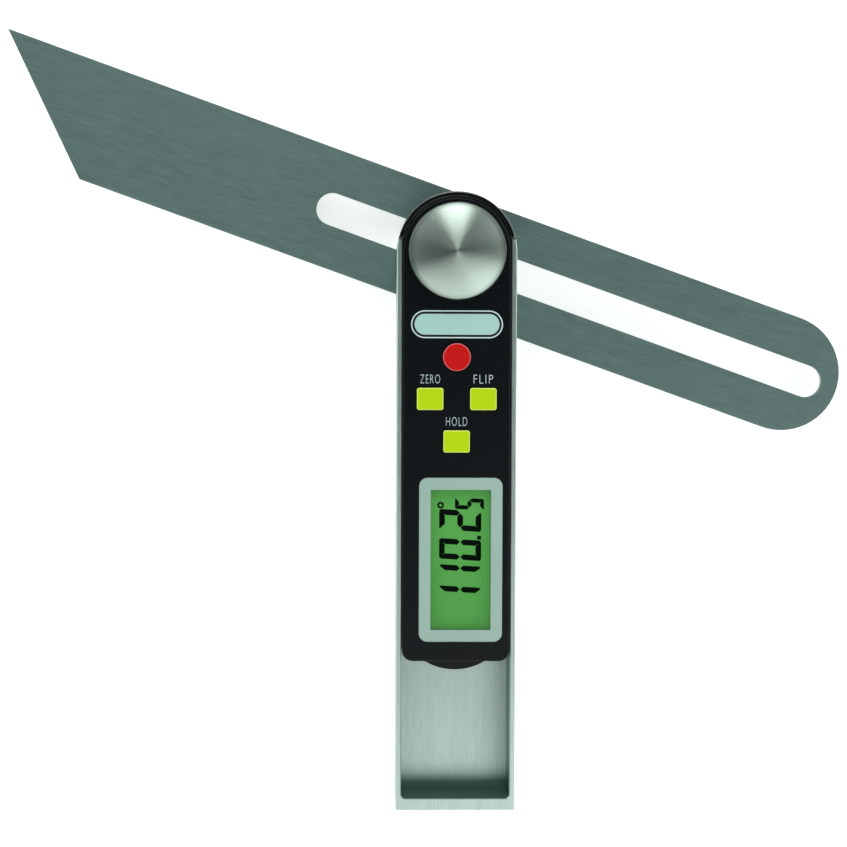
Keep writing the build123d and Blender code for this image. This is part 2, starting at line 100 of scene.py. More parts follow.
class BevelSizes(bpy.types.PropertyGroup):
    """Sizes of the fine parts."""

    brush_pitch: length("Brush pitch", 0.26 * MM, "Distance between brush lines on the steel")
    brush_length: length("Brush length", 5 * MM, "Length of one brush line")
    knob_gap: length("Knob gap", 0.5 * MM, "Free height under the knob")
    knob_rim: length("Knob rim", 2.4 * MM, "Height of the knob's knurled rim")
    knob_bore: length("Knob bore", 2.55 * MM, "Radius of the knob's bore")
    knob_spigot: length("Knob spigot", 3.6 * MM, "Radius of the knob's spigot")
    knob_edge: length("Knob edge", 0.06 * MM, "Broken edge of the knob's rim")
    knurl_depth: length("Knurl depth", 0.32 * MM, "Depth of the knurl on the knob's rim")
    knurl_pitch: length("Knurl pitch", 0.42 * MM, "Distance between the knurl's ridges")
    badge_ring: length("Badge ring", 0.26 * MM, "Width of the badge's pale outline")
    badge_groove: length("Badge groove", 0.5 * MM, "Width of the dark line inside the outline")
    legend_height: length("Legend height", 2.15 * MM, "Height of the capitals over the keys")
    legend_gap: length("Legend gap", 0.45 * MM, "Distance from a key's opening to its legend")
    ink_thick: length("Ink thickness", 0.03 * MM, "Thickness of printed ink and display segments")
    digit_height: length("Digit height", 9.3 * MM, "Height of the display's large digits")
    digit_width: length("Digit width", 4.55 * MM, "Width of the display's large digits")
    segment_width: length("Segment width", 1.25 * MM, "Width of one display segment")
    segment_gap: length("Segment gap", 0.14 * MM, "Gap between neighbouring segments")
    pad_thick: length("Pad thickness", 0.035 * MM, "Thickness of the encoder's copper pads")
    lead_width: length("Lead width", 0.32 * MM, "Width of one lead of the processor")
    lead_pitch: length("Lead pitch", 0.65 * MM, "Distance between the processor's leads")
    digit_slant: bpy.props.FloatProperty(
        name="Digit slant", description="Lean of the display's digits", default=math.radians(3.5),
        unit="ROTATION",
    )


class BevelColours(bpy.types.PropertyGroup):
    """Colours of the finishes."""

    blade_steel: colour("Blade steel", "6A827E", "Brushed stainless steel of the blade")
    handle_steel: colour("Handle steel", "B8CCC5", "Brushed stainless steel of the handle")
    # painted shade: the darker steel that the pocket's walls and the floor's end are mixed towards, where
    # shade falls
    pocket_shade_steel: colour("Pocket shade steel", "68877F", "Unbrushed steel in the handle's pocket")
    knob_plate: colour("Knob plate", "BACBC0", "Nickel plate of the knob")
    cover_black: colour("Cover black", "01070A", "Satin ABS of the front cover")
    housing_black: colour("Housing black", "080B0D", "Gloss ABS of the housing")
    badge_field: colour("Badge field", "A2CAC2", "Pale enamel of the badge")
    badge_outline: colour("Badge outline", "C6DCDA", "White outline of the badge")
    power_red: colour("Power red", "BC0806", "Red power button")
    key_lime: colour("Key lime", "AED000", "Yellow-green keys")
    bezel_grey: colour("Bezel grey", "93AFA2", "Moulded frame of the display")
    display_green: colour("Display green", "5BAD52", "Lit ground of the display")
    display_ink: colour("Display ink", "050A06", "Dark segments of the display")
    legend_ink: colour("Legend ink", "BECED8", "Printed legends")
    board_green: colour("Board green", "1E5A32", "Solder resist")
    brass_yellow: colour("Brass", "C8A45A", "Turned brass and contact strip")
    floor_pale: colour("Floor", "FBFBFA", "Pale floor under the tool")


# ---------------------------------------------------------------- node and mesh helpers

def add(tree, kind, inputs=None, **settings):
    """Add a node with its settings; each input is given a value or the socket it is linked from."""
    node = tree.nodes.new(kind)
    for key, value in settings.items():
        setattr(node, key, value)
    for key, value in (inputs or {}).items():
        socket = node.inputs[key]
        if isinstance(value, bpy.types.NodeSocket):
            tree.links.new(value, socket)
        else:
            socket.default_value = value
    return node


def new_material(name):
    """A node material with an output; returns it with its tree and the Object coordinates."""
    material = bpy.data.materials.new(name)
    material.use_nodes = True
    tree = material.node_tree
    tree.nodes.clear()
    place = add(tree, "ShaderNodeTexCoord").outputs["Object"]
    return material, tree, place


def close(tree, shader):
    """Link the finished shader to the material's output."""
    add(tree, "ShaderNodeOutputMaterial", {"Surface": shader.outputs[0]})


def scaled(rgba, factor):
    """A colour made lighter or darker."""
    return tuple(min(1.0, c * factor) for c in rgba[:3]) + (1.0,)


def shade_of(tree, fac, low, high):
    """Mix two colours by a factor socket."""
    mix = add(tree, "ShaderNodeMix", {"Factor": fac}, data_type="RGBA")
    mix.inputs[6].default_value = low
    mix.inputs[7].default_value = high
    return mix.outputs[2]


def finish_with(material, *names):
    """Give CAD nodes a material."""
    for name in names:
        slots = frame["nodes"][name].material_slots
        for slot in slots:
            slot.material = material


def piece(name, mesh, material, body, replaces=()):
    """Put a finished mesh in the scene, at the origin, and have it ride on its body."""
    obj = bpy.data.objects.new(name, mesh)
    bpy.context.scene.collection.objects.link(obj)
    if material is not None:
        mesh.materials.clear()
        mesh.materials.append(material)
    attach(obj, body)
    if replaces:
        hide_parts(*replaces)
    return obj


def mesh_from(bm, name, smooth=False):
    """Write a bmesh to a new mesh with its normals outwards."""
    bmesh.ops.recalc_face_normals(bm, faces=bm.faces)
    mesh = bpy.data.meshes.new(name)
    bm.to_mesh(mesh)
    bm.free()
    for polygon in mesh.polygons:
        polygon.use_smooth = smooth
    return mesh


def add_prism(bm, outline, bottom, top, holes=()):
    """Add a closed plate between two heights, from an outline and any holes, as lists of XY points."""
    edges = []
    for loop in (outline, *holes):
        ring = [bm.verts.new((x, y, bottom)) for x, y in loop]
        edges += [bm.edges.new((ring[i - 1], ring[i])) for i in range(len(ring))]
    filled = bmesh.ops.triangle_fill(bm, use_beauty=True, edges=edges)
    faces = [item for item in filled["geom"] if isinstance(item, bmesh.types.BMFace)]
    raised = bmesh.ops.extrude_face_region(bm, geom=faces, use_keep_orig=True)
    moved = [item for item in raised["geom"] if isinstance(item, bmesh.types.BMVert)]
    bmesh.ops.translate(bm, verts=moved, vec=(0, 0, top - bottom))


def pill(centre, size_x, size_y, steps=24):
    """Points of a pill outline with round ends; a circle when it is as long as it is wide."""
    radius = size_y / 2
    run = size_x / 2 - radius
    points = []
    for side, start in ((1, -90), (-1, 90)):
        for i in range(steps + 1 if run > 0 else steps):
            turn = math.radians(start + 180 * i / steps)
            x = centre.x + side * run + radius * math.cos(turn)
            points.append((x, centre.y + radius * math.sin(turn)))
    return points


def middle(name):
    """Centre of a CAD node's box."""
    low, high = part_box(name)
    return (Vector(low) + Vector(high)) / 2


def top_of(name):
    """Highest point of a CAD node."""
    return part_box(name)[1][2]


# ---------------------------------------------------------------- finishes

def painted_pocket_shade(tree, place):
    """Painted shade for the pocket: how much each point of its walls and of the floor's end is darkened,
    where shade falls there.
    """
    wall_gap, end_wall_thick, floor_thick = 0.15 * MM, 2.65 * MM, 1.4 * MM
    fade_starts, fade_ends, floor_share = 7.0 * MM, 1.5 * MM, 0.85
    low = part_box("front_channel")[0]
    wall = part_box("front_cover")[1][0] + wall_gap
    end_wall = low[1] + end_wall_thick
    floor = low[2] + floor_thick
    at = add(tree, "ShaderNodeSeparateXYZ", {"Vector": place}).outputs
    facing = add(tree, "ShaderNodeNewGeometry").outputs["Normal"]
    up = add(tree, "ShaderNodeSeparateXYZ", {"Vector": facing}).outputs["Z"]
    side = add(tree, "ShaderNodeMath", {0: at["X"]}, operation="ABSOLUTE")
    within = add(tree, "ShaderNodeMath", {0: side.outputs[0], 1: wall}, operation="LESS_THAN")
    beyond = add(tree, "ShaderNodeMath", {0: at["Y"], 1: end_wall - 0.1 * MM}, operation="GREATER_THAN")
    inside = add(tree, "ShaderNodeMath", {0: within.outputs[0], 1: beyond.outputs[0]}, operation="MULTIPLY")
    steep = add(tree, "ShaderNodeMapRange", {"Value": up, "From Min": 0.7, "From Max": 0.3})
    walls = add(tree, "ShaderNodeMath", {0: inside.outputs[0], 1: steep.outputs[0]}, operation="MULTIPLY")
    near_end = add(tree, "ShaderNodeMapRange", {
        "Value": at["Y"], "From Min": end_wall + fade_starts, "From Max": end_wall - fade_ends,
    }, interpolation_type="SMOOTHSTEP")
    deep = add(tree, "ShaderNodeMath", {0: at["Z"], 1: floor}, operation="LESS_THAN")
    floor_end = add(tree, "ShaderNodeMath", {
        0: near_end.outputs[0], 1: deep.outputs[0],
    }, operation="MULTIPLY")
    root = add(tree, "ShaderNodeMath", {0: floor_end.outputs[0], 1: floor_share}, operation="MULTIPLY")
    share = add(tree, "ShaderNodeMath", {0: walls.outputs[0], 1: root.outputs[0]}, operation="MAXIMUM")
    return share.outputs[0]


def brushed_steel(name, base, along, roughness, contrast, shade_share=None):
    """304 stainless sheet, belt brushed: fine lines along the piece that spread the light across them."""
    sizes = bpy.context.scene.bevel_sizes
    material, tree, place = new_material(name)
    turn = math.atan2(along.y, along.x)
    pitch, run = sizes.brush_pitch, sizes.brush_length
    fine = add(tree, "ShaderNodeMapping", {
        "Vector": place, "Rotation": (0, 0, turn), "Scale": (run, pitch, pitch),
    }, vector_type="TEXTURE")
    lines = add(tree, "ShaderNodeTexNoise", {
        "Vector": fine.outputs[0], "Scale": 1.0, "Detail": 3.0, "Roughness": 0.6,
    })
    wide = add(tree, "ShaderNodeMapping", {
        "Vector": place, "Rotation": (0, 0, turn), "Scale": (run * 4, pitch * 6, pitch * 6),
    }, vector_type="TEXTURE")
    bands = add(tree, "ShaderNodeTexNoise", {"Vector": wide.outputs[0], "Scale": 1.0, "Detail": 2.0})
    both = add(tree, "ShaderNodeMath", {
        0: bands.outputs[0], 1: 0.4, 2: lines.outputs[0],
    }, operation="MULTIPLY_ADD")
    spread = add(tree, "ShaderNodeMapRange", {
        "Value": both.outputs[0], "From Min": 0.45, "From Max": 0.95,
    })
    tint = shade_of(tree, spread.outputs[0], scaled(base, 1 - contrast), scaled(base, 1 + contrast))
    # painted shade: when a shade share is given, the tint is darkened towards the pocket shade steel on the
    # pocket's walls and near its end wall
    if shade_share is not None:
        pocket_shade_mix = add(tree, "ShaderNodeMix", {"Factor": shade_share(tree, place)}, data_type="RGBA")
        tree.links.new(tint, pocket_shade_mix.inputs[6])
        pocket_shade_mix.inputs[7].default_value = tuple(bpy.context.scene.bevel_colours.pocket_shade_steel)
        tint = pocket_shade_mix.outputs[2]
    rough = add(tree, "ShaderNodeMapRange", {
        "Value": lines.outputs[0], "From Min": 0.3, "From Max": 0.7,
        "To Min": roughness - 0.03, "To Max": roughness + 0.03,
    })
    relief = add(tree, "ShaderNodeBump", {
        "Height": lines.outputs[0], "Strength": 0.18, "Distance": 0.01 * MM,
    })
    across = add(tree, "ShaderNodeCombineXYZ", {"X": -along.y, "Y": along.x, "Z": 0.0})
    across_world = add(tree, "ShaderNodeVectorTransform", {
        "Vector": across.outputs[0],
    }, vector_type="VECTOR", convert_from="OBJECT", convert_to="WORLD")
    shader = add(tree, "ShaderNodeBsdfPrincipled", {
        "Base Color": tint, "Metallic": 1.0, "Roughness": rough.outputs[0], "Anisotropic": 0.55,
        "Normal": relief.outputs[0], "Tangent": across_world.outputs[0],
    })
    close(tree, shader)
    return material


def turned_nickel(name, base, roughness, anisotropy):
    """Nickel plate over a lathe-turned face: rings round the axis that draw the light out into rays."""
    material, tree, place = new_material(name)
    split = add(tree, "ShaderNodeSeparateXYZ", {"Vector": place})
    flat = add(tree, "ShaderNodeCombineXYZ", {"X": split.outputs[0], "Y": split.outputs[1]})
    radius = add(tree, "ShaderNodeVectorMath", {0: flat.outputs[0]}, operation="LENGTH")
    rings_at = add(tree, "ShaderNodeMath", {
        0: radius.outputs["Value"], 1: 1 / (0.12 * MM),
    }, operation="MULTIPLY")
    ring_noise = add(tree, "ShaderNodeTexNoise", {
        "W": rings_at.outputs[0], "Scale": 1.0, "Detail": 2.0,
    }, noise_dimensions="1D")
    tint = shade_of(tree, ring_noise.outputs[0], scaled(base, 0.93), scaled(base, 1.05))
    relief = add(tree, "ShaderNodeBump", {
        "Height": ring_noise.outputs[0], "Strength": 0.1, "Distance": 0.01 * MM,
    })
    outward_world = add(tree, "ShaderNodeVectorTransform", {
        "Vector": flat.outputs[0],
    }, vector_type="VECTOR", convert_from="OBJECT", convert_to="WORLD")
    shader = add(tree, "ShaderNodeBsdfPrincipled", {
        "Base Color": tint, "Metallic": 1.0, "Roughness": roughness, "Anisotropic": anisotropy,
        "Normal": relief.outputs[0], "Tangent": outward_world.outputs[0],
    })
    close(tree, shader)
    return material


def plated_metal(name, base, roughness):
    """Small plated or drawn metal parts: even, with faint handling marks."""
    material, tree, place = new_material(name)
    marks = add(tree, "ShaderNodeTexNoise", {"Vector": place, "Scale": 900.0, "Detail": 4.0})
    tint = shade_of(tree, marks.outputs[0], scaled(base, 0.88), scaled(base, 1.06))
    rough = add(tree, "ShaderNodeMapRange", {
        "Value": marks.outputs[0], "To Min": roughness - 0.05, "To Max": roughness + 0.1,
    })
    shader = add(tree, "ShaderNodeBsdfPrincipled", {
        "Base Color": tint, "Metallic": 1.0, "Roughness": rough.outputs[0],
    })
    close(tree, shader)
    return material


def moulded_plastic(name, base, roughness, grain_mm=0.35, relief_mm=0.004, ior=1.53, coat=0.0):
    """Injection-moulded ABS: an even colour with the fine spark-eroded grain of the mould."""
    material, tree, place = new_material(name)
    grain = add(tree, "ShaderNodeTexNoise", {
        "Vector": place, "Scale": 1 / (grain_mm * MM), "Detail": 3.0, "Roughness": 0.55,
    })
    cloud = add(tree, "ShaderNodeTexNoise", {"Vector": place, "Scale": 60.0, "Detail": 2.0})
    tint = shade_of(tree, cloud.outputs[0], scaled(base, 0.92), scaled(base, 1.08))
    rough = add(tree, "ShaderNodeMapRange", {
        "Value": grain.outputs[0], "From Min": 0.3, "From Max": 0.7,
        "To Min": roughness - 0.04, "To Max": roughness + 0.05,
    })
    relief = add(tree, "ShaderNodeBump", {
        "Height": grain.outputs[0], "Strength": 0.5, "Distance": relief_mm * MM,
    })
    shader = add(tree, "ShaderNodeBsdfPrincipled", {
        "Base Color": tint, "Roughness": rough.outputs[0], "IOR": ior, "Coat Weight": coat,
        "Coat Roughness": 0.12, "Normal": relief.outputs[0],
    })
    close(tree, shader)
    return material


def silicone_key(name, base, edge):
    """Silicone rubber key with a painted highlight: a lighter rim where the moulding turns over its edge."""
    material, tree, place = new_material(name)
    facing = add(tree, "ShaderNodeNewGeometry").outputs["Normal"]
    up = add(tree, "ShaderNodeSeparateXYZ", {"Vector": facing})
    # painted highlight: faces that slope away from the top take the lighter edge colour
    highlight_rim = add(tree, "ShaderNodeMapRange", {
        "Value": up.outputs["Z"], "From Min": 0.99, "From Max": 0.9,
    })
    fine = add(tree, "ShaderNodeTexNoise", {"Vector": place, "Scale": 2500.0, "Detail": 2.0})
    body = shade_of(tree, fine.outputs[0], scaled(base, 0.94), scaled(base, 1.05))
    tint = add(tree, "ShaderNodeMix", {"Factor": highlight_rim.outputs[0]}, data_type="RGBA")
    tree.links.new(body, tint.inputs[6])
    tint.inputs[7].default_value = edge
    relief = add(tree, "ShaderNodeBump", {
        "Height": fine.outputs[0], "Strength": 0.3, "Distance": 0.004 * MM,
    })
    shader = add(tree, "ShaderNodeBsdfPrincipled", {
        "Base Color": tint.outputs[2], "Roughness": 0.55, "IOR": 1.25, "Normal": relief.outputs[0],
    })
    close(tree, shader)
    return material


def printed_ink(name, base, roughness=0.6, ior=1.5):
    """Pad-printed ink: matt, a little uneven where the pad left less."""
    material, tree, place = new_material(name)
    cover = add(tree, "ShaderNodeTexNoise", {"Vector": place, "Scale": 1800.0, "Detail": 3.0})
    tint = shade_of(tree, cover.outputs[0], scaled(base, 0.82), scaled(base, 1.1))
    shader = add(tree, "ShaderNodeBsdfPrincipled", {
        "Base Color": tint, "Roughness": roughness, "IOR": ior,
    })
    close(tree, shader)
    return material


def lit_display(name, base):
    """Reflective liquid crystal glass over a green light guide: brighter towards the lamp's end."""
    material, tree, place = new_material(name)
    low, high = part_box("lcd_window")
    split = add(tree, "ShaderNodeSeparateXYZ", {"Vector": place})
    along = add(tree, "ShaderNodeMapRange", {
        "Value": split.outputs["Y"], "From Min": low[1], "From Max": high[1],
    })
    fine = add(tree, "ShaderNodeTexNoise", {"Vector": place, "Scale": 3000.0, "Detail": 1.0})
    level = add(tree, "ShaderNodeMath", {0: fine.outputs[0], 1: 0.15}, operation="MULTIPLY")
    total = add(tree, "ShaderNodeMath", {0: along.outputs[0], 1: level.outputs[0]}, operation="ADD")
    tint = shade_of(tree, total.outputs[0], scaled(base, 0.92), scaled(base, 1.06))
    shader = add(tree, "ShaderNodeBsdfPrincipled", {
        "Base Color": tint, "Roughness": 0.35, "IOR": 1.3, "Emission Color": tint,
        "Emission Strength": 0.38,
    })
    close(tree, shader)
    return material


def clear_acrylic(name):
    """Cast acrylic window: clear, with a polished face and a few faint smears."""
    material, tree, place = new_material(name)
    smear = add(tree, "ShaderNodeTexNoise", {"Vector": place, "Scale": 220.0, "Detail": 2.0})
    rough = add(tree, "ShaderNodeMapRange", {
        "Value": smear.outputs[0], "To Min": 0.02, "To Max": 0.1,
    })
    shader = add(tree, "ShaderNodeBsdfPrincipled", {
        "Base Color": linear("0A1A10"), "Roughness": rough.outputs[0], "IOR": 1.49, "Alpha": 0.14,
    })
    close(tree, shader)
    return material


def solder_resist(name, base, copper):
    """Glass-epoxy board under green solder resist, with tracks a shade lighter where copper lies below."""
    material, tree, place = new_material(name)
    track = add(tree, "ShaderNodeTexBrick", {
        "Vector": place, "Scale": 1 / (2.2 * MM), "Mortar Size": 0.07,
        "Color1": base, "Color2": scaled(base, 0.85), "Mortar": scaled(base, 1.8),
    })
    speck = add(tree, "ShaderNodeTexVoronoi", {"Vector": place, "Scale": 1 / (2.8 * MM)})
    pad = add(tree, "ShaderNodeMapRange", {
        "Value": speck.outputs["Distance"], "From Min": 0.16, "From Max": 0.13,
    })
    tint = add(tree, "ShaderNodeMix", {"Factor": pad.outputs[0]}, data_type="RGBA")
    tree.links.new(track.outputs["Color"], tint.inputs[6])
    tint.inputs[7].default_value = copper
    shader = add(tree, "ShaderNodeBsdfPrincipled", {
        "Base Color": tint.outputs[2], "Roughness": 0.35, "IOR": 1.55,
    })
    close(tree, shader)
    return material


def striped_rubber(name):
    """Elastomer contact strip: conducting and plain layers in turn, 0.3 mm apart so that they show."""
    material, tree, place = new_material(name)
    layers = add(tree, "ShaderNodeTexWave", {
        "Vector": place, "Scale": 1 / (0.6 * MM) / math.tau,
    }, bands_direction="Y")
    tint = shade_of(tree, layers.outputs["Fac"], linear("1C1C1C"), linear("D8CFC4"))
    shader = add(tree, "ShaderNodeBsdfPrincipled", {"Base Color": tint, "Roughness": 0.7, "IOR": 1.43})
    close(tree, shader)
    return material


# ---------------------------------------------------------------- pieces

class BEVEL_OT_blade(bpy.types.Operator):
    """Give the slotted blade its brushed steel"""

    bl_idname = "bevel.blade"
    bl_label = "Blade"

    def execute(self, context):
        colours = context.scene.bevel_colours
        finish_with(
            brushed_steel(
                "blade_brushed_stainless", tuple(colours.blade_steel), BLADE_AXIS, roughness=0.42,
                contrast=0.14,
            ),
            "blade",
        )
        return {"FINISHED"}


class BEVEL_OT_handle(bpy.types.Operator):
    """Give the handle's channel, back plate and foot block their brushed steel"""

    bl_idname = "bevel.handle"
    bl_label = "Handle"

    def execute(self, context):
        base = tuple(context.scene.bevel_colours.handle_steel)
        finish_with(
            brushed_steel(
                "handle_brushed_stainless", base, HANDLE_AXIS, roughness=0.36, contrast=0.12,
                # the pocket's walls and the floor's end get painted shade
                shade_share=painted_pocket_shade,
            ),
            "front_channel", "back_plate", "foot_block",
        )
        return {"FINISHED"}


def knurl_tree():
    """Node tree that draws in every other line of a turned body's rim, which leaves sharp upright teeth."""
    tree = bpy.data.node_groups.new("knurl_ring", "GeometryNodeTree")
    for name, kind in (
        ("Body", "NodeSocketGeometry"), ("Rim", "NodeSocketFloat"), ("Depth", "NodeSocketFloat"),
        ("Finish", "NodeSocketMaterial"),
    ):
        tree.interface.new_socket(name, in_out="INPUT", socket_type=kind)
    tree.interface.new_socket("Knob", in_out="OUTPUT", socket_type="NodeSocketGeometry")
    given = add(tree, "NodeGroupInput").outputs
    where = add(tree, "GeometryNodeInputPosition")
    flat = add(tree, "ShaderNodeVectorMath", {0: where.outputs[0], 1: (1, 1, 0)}, operation="MULTIPLY")
    radius = add(tree, "ShaderNodeVectorMath", {0: flat.outputs[0]}, operation="LENGTH")
    outer = add(tree, "FunctionNodeCompare", {
        0: radius.outputs["Value"], 1: given["Rim"],
    }, data_type="FLOAT", operation="GREATER_THAN")
    order = add(tree, "GeometryNodeInputIndex")
    odd = add(tree, "ShaderNodeMath", {0: order.outputs[0], 1: 2.0}, operation="MODULO")
    depth = add(tree, "ShaderNodeMath", {0: odd.outputs[0], 1: given["Depth"]}, operation="MULTIPLY")
    inwards = add(tree, "ShaderNodeMath", {0: depth.outputs[0], 1: -1.0}, operation="MULTIPLY")
    outwards = add(tree, "ShaderNodeVectorMath", {0: flat.outputs[0]}, operation="NORMALIZE")
    move = add(tree, "ShaderNodeVectorMath", {
        0: outwards.outputs[0], "Scale": inwards.outputs[0],
    }, operation="SCALE")
    cut = add(tree, "GeometryNodeSetPosition", {
        "Geometry": given["Body"], "Selection": outer.outputs[0], "Offset": move.outputs[0],
    })
    solid = add(tree, "GeometryNodeRealizeInstances", {"Geometry": cut.outputs[0]})
    dressed = add(tree, "GeometryNodeSetMaterial", {
        "Geometry": solid.outputs[0], "Material": given["Finish"],
    })
    add(tree, "NodeGroupOutput", {"Knob": dressed.outputs[0]})
    return tree


def pad_ring_tree():
    """Node tree that sets short rows of flat plates round a centre, facing outwards."""
    tree = bpy.data.node_groups.new("pad_ring", "GeometryNodeTree")
    for name, kind in (
        ("Body", "NodeSocketGeometry"), ("Centre", "NodeSocketVector"), ("Radius", "NodeSocketFloat"),
        ("Places", "NodeSocketInt"), ("Row", "NodeSocketInt"), ("Pitch", "NodeSocketFloat"),
        ("Plate", "NodeSocketVector"), ("Finish", "NodeSocketMaterial"),
    ):
        tree.interface.new_socket(name, in_out="INPUT", socket_type=kind)
    tree.interface.new_socket("Plates", in_out="OUTPUT", socket_type="NodeSocketGeometry")
    given = add(tree, "NodeGroupInput").outputs
    steps = add(tree, "ShaderNodeMath", {0: given["Row"], 1: 1}, operation="SUBTRACT")
    reach = add(tree, "ShaderNodeMath", {0: steps.outputs[0], 1: given["Pitch"]}, operation="MULTIPLY")
    start = add(tree, "ShaderNodeMath", {0: reach.outputs[0], 1: -0.5}, operation="MULTIPLY")
    first = add(tree, "ShaderNodeCombineXYZ", {"Y": start.outputs[0]})
    step = add(tree, "ShaderNodeCombineXYZ", {"Y": given["Pitch"]})
    row = add(tree, "GeometryNodeMeshLine", {
        "Count": given["Row"], "Start Location": first.outputs[0], "Offset": step.outputs[0],
    })
    plate = add(tree, "GeometryNodeMeshCube", {"Size": given["Plate"]})
    plates = add(tree, "GeometryNodeInstanceOnPoints", {
        "Points": row.outputs[0], "Instance": plate.outputs[0],
    })
    ring = add(tree, "GeometryNodeMeshCircle", {"Vertices": given["Places"], "Radius": given["Radius"]})
    where = add(tree, "GeometryNodeInputPosition")
    turned = add(tree, "FunctionNodeAlignRotationToVector", {
        "Vector": where.outputs[0],
    }, axis="X", pivot_axis="Z")
    rows = add(tree, "GeometryNodeInstanceOnPoints", {
        "Points": ring.outputs[0], "Instance": plates.outputs[0], "Rotation": turned.outputs[0],
    })
    placed = add(tree, "GeometryNodeTransform", {"Geometry": rows.outputs[0], "Translation": given["Centre"]})
    solid = add(tree, "GeometryNodeRealizeInstances", {"Geometry": placed.outputs[0]})
    dressed = add(tree, "GeometryNodeSetMaterial", {
        "Geometry": solid.outputs[0], "Material": given["Finish"],
    })
    add(tree, "NodeGroupOutput", {"Plates": dressed.outputs[0]})
    return tree


def grown(mesh, tree, values):
    """Run a node tree on a mesh with its named inputs, and return the result as a plain mesh."""
    seed = bpy.data.objects.new("seed", mesh)
    bpy.context.scene.collection.objects.link(seed)
    modifier = seed.modifiers.new(tree.name, "NODES")
    modifier.node_group = tree
    sockets = {item.name: item.identifier for item in tree.interface.items_tree if item.in_out == "INPUT"}
    for name, value in values.items():
        modifier[sockets[name]] = value
    solved = seed.evaluated_get(bpy.context.evaluated_depsgraph_get())
    result = bpy.data.meshes.new_from_object(solved)
    seed.modifiers.remove(modifier)
    bpy.data.objects.remove(seed)
    return result


def turned_body(profile, steps):
    """A closed body of revolution about Z, from radius and height pairs that start and end on the axis."""
    bm = bmesh.new()
    rings = []
    for radius, height in profile:
        if radius == 0:
            rings.append([bm.verts.new((0, 0, height))])
        else:
            turn = [math.tau * i / steps for i in range(steps)]
            rings.append([bm.verts.new((radius * math.cos(t), radius * math.sin(t), height)) for t in turn])
    for lower, upper in zip(rings, rings[1:]):
        for i in range(steps):
            j = (i + 1) % steps
            corners = [
                lower[i % len(lower)], lower[j % len(lower)], upper[j % len(upper)], upper[i % len(upper)],
            ]
            bm.faces.new(list(dict.fromkeys(corners)))
    return bm


class BEVEL_OT_knob(bpy.types.Operator):
    """Build the clamp knob: a turned, shallow dome with a fine knurl round its rim"""

    bl_idname = "bevel.knob"
    bl_label = "Clamp knob"

    def execute(self, context):
        sizes = context.scene.bevel_sizes
        low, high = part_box("clamp_knob")
        radius = high[0]
        under = top_of("front_cover") + sizes.knob_gap
        rim_top = under + sizes.knob_rim
        edge = sizes.knob_edge
        bore, spigot = sizes.knob_bore, sizes.knob_spigot
        bore_top = top_of("clamp_stud") + 0.1 * MM  # clear of the stud's end
        dome_edge = radius - edge
        profile = [
            (0, bore_top), (bore, bore_top), (bore, low[2]), (spigot, low[2]), (spigot, under),
            (dome_edge, under), (radius, under + edge), (radius, rim_top - edge), (dome_edge, rim_top),
        ]
        root_gap = 0.02 * MM
        tooth_root = dome_edge - sizes.knurl_depth - root_gap
        rings = 12
        for i in range(rings + 1):
            at = tooth_root * (1 - i / rings)
            profile.append((at, rim_top + (high[2] - rim_top) * (1 - (at / tooth_root)**2)))
        teeth = int(math.tau * radius / sizes.knurl_pitch)
        mesh = mesh_from(turned_body(profile, 2 * teeth), "clamp_knob_turned", smooth=True)
        plate = tuple(context.scene.bevel_colours.knob_plate)
        nickel = turned_nickel("knob_turned_nickel", plate, roughness=0.27, anisotropy=0.88)
        knurled = grown(mesh, knurl_tree(), {
            "Rim": dome_edge - edge / 2, "Depth": sizes.knurl_depth, "Finish": nickel,
        })
        sharp_from = math.radians(25)
        knurled.set_sharp_from_angle(angle=sharp_from)
        piece("clamp_knob_turned", knurled, None, "knob", ["clamp_knob"])
        return {"FINISHED"}


class BEVEL_OT_module(bpy.types.Operator):
    """Give the module's housing and front cover their moulded ABS"""

    bl_idname = "bevel.module"
    bl_label = "Module housing and cover"

    def execute(self, context):
        colours = context.scene.bevel_colours
        cover = moulded_plastic(
            "cover_satin_abs", tuple(colours.cover_black), roughness=0.3, relief_mm=0.0004, ior=1.3
        )
        housing = moulded_plastic(
            "housing_gloss_abs", tuple(colours.housing_black), roughness=0.1, relief_mm=0.0005, ior=1.6,
            coat=0.8,
        )
        bezel = moulded_plastic("bezel_moulded_abs", tuple(colours.bezel_grey), roughness=0.4)
        finish_with(cover, "front_cover")
        finish_with(housing, "module_housing")
        finish_with(bezel, "lcd_bezel")
        return {"FINISHED"}


class BEVEL_OT_badge(bpy.types.Operator):
    """Build the plain pill badge: pale outline, dark groove and pale enamel field"""

    bl_idname = "bevel.badge"
    bl_label = "Badge"

    def execute(self, context):
        sizes, colours = context.scene.bevel_sizes, context.scene.bevel_colours
        low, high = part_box("badge")
        centre = middle("badge")
        size_x, size_y = high[0] - low[0], high[1] - low[1]
        groove = size_x - 2 * sizes.badge_ring, size_y - 2 * sizes.badge_ring
        field = groove[0] - 2 * sizes.badge_groove, groove[1] - 2 * sizes.badge_groove
        groove_sunk, field_sunk = 0.12 * MM, 0.03 * MM
        groove_height = high[2] - groove_sunk
        layers = (
            ("badge_outline", (size_x, size_y), groove, low[2], high[2], "badge_white_enamel",
             tuple(colours.badge_outline)),
            ("badge_groove", groove, field, low[2], groove_height, "badge_dark_enamel",
             tuple(colours.housing_black)),
            ("badge_field", field, None, low[2], high[2] - field_sunk, "badge_pale_enamel",
             tuple(colours.badge_field)),
        )
        for name, outer, inner, bottom, top, finish, base in layers:
            bm = bmesh.new()
            holes = [pill(centre, *inner)] if inner else []
            add_prism(bm, pill(centre, *outer), bottom, top, holes)
            mesh = mesh_from(bm, name)
            enamel = moulded_plastic(finish, base, roughness=0.3, grain_mm=0.5, relief_mm=0.003, coat=0.4)
            piece(name, mesh, enamel, "handle", ["badge"])
        return {"FINISHED"}


